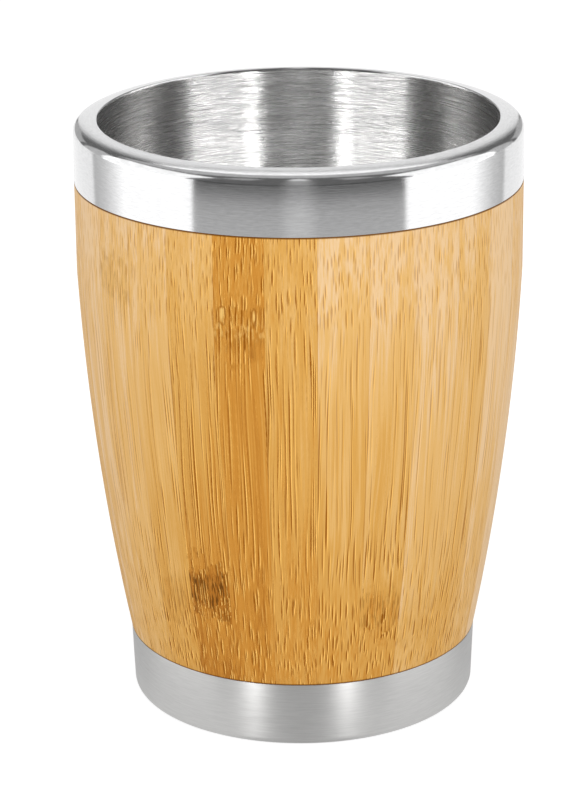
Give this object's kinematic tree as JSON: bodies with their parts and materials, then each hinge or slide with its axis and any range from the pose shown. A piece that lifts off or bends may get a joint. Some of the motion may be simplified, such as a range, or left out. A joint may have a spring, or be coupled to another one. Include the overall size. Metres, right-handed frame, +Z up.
{
  "type": "double-walled cup with bamboo sleeve",
  "caption": "Steel cup with a double wall, a polished lip and band, a sleeve of glued bamboo staves and a steel base cap.",
  "frame": {"origin": "centre of the foot ring's plane on the table, on the cup's axis", "axes": "+Z up along the cup's axis; -Y towards the pictured front; +X to the right in the picture"},
  "size_m": [0.088, 0.088, 0.119],
  "materials": {
    "bamboo": "turned end to end, sanded and sealed with a thin satin lacquer",
    "polished_steel": "stainless steel, mirror polished on the lip and band",
    "brushed_liner": "stainless steel, brushed round the axis",
    "satin_steel": "stainless steel, fine satin brushed round the axis"
  },
  "bodies": {
    "root": {"stave_01": "bamboo", "stave_02": "bamboo", "stave_03": "bamboo", "stave_04": "bamboo", "stave_05": "bamboo", "stave_06": "bamboo", "stave_07": "bamboo", "stave_08": "bamboo", "stave_09": "bamboo", "stave_10": "bamboo", "stave_11": "bamboo", "stave_12": "bamboo", "stave_13": "bamboo", "stave_14": "bamboo", "stave_15": "bamboo", "stave_16": "bamboo", "stave_17": "bamboo", "stave_18": "bamboo", "stave_19": "bamboo", "stave_20": "bamboo", "stave_21": "bamboo", "stave_22": "bamboo", "stave_23": "bamboo", "stave_24": "bamboo", "stave_25": "bamboo", "stave_26": "bamboo", "stave_27": "bamboo", "stave_28": "bamboo", "outer_shell": "polished_steel", "liner": "brushed_liner", "shell_bottom": "polished_steel", "base_cap": "satin_steel"}
  },
  "joints": []
}
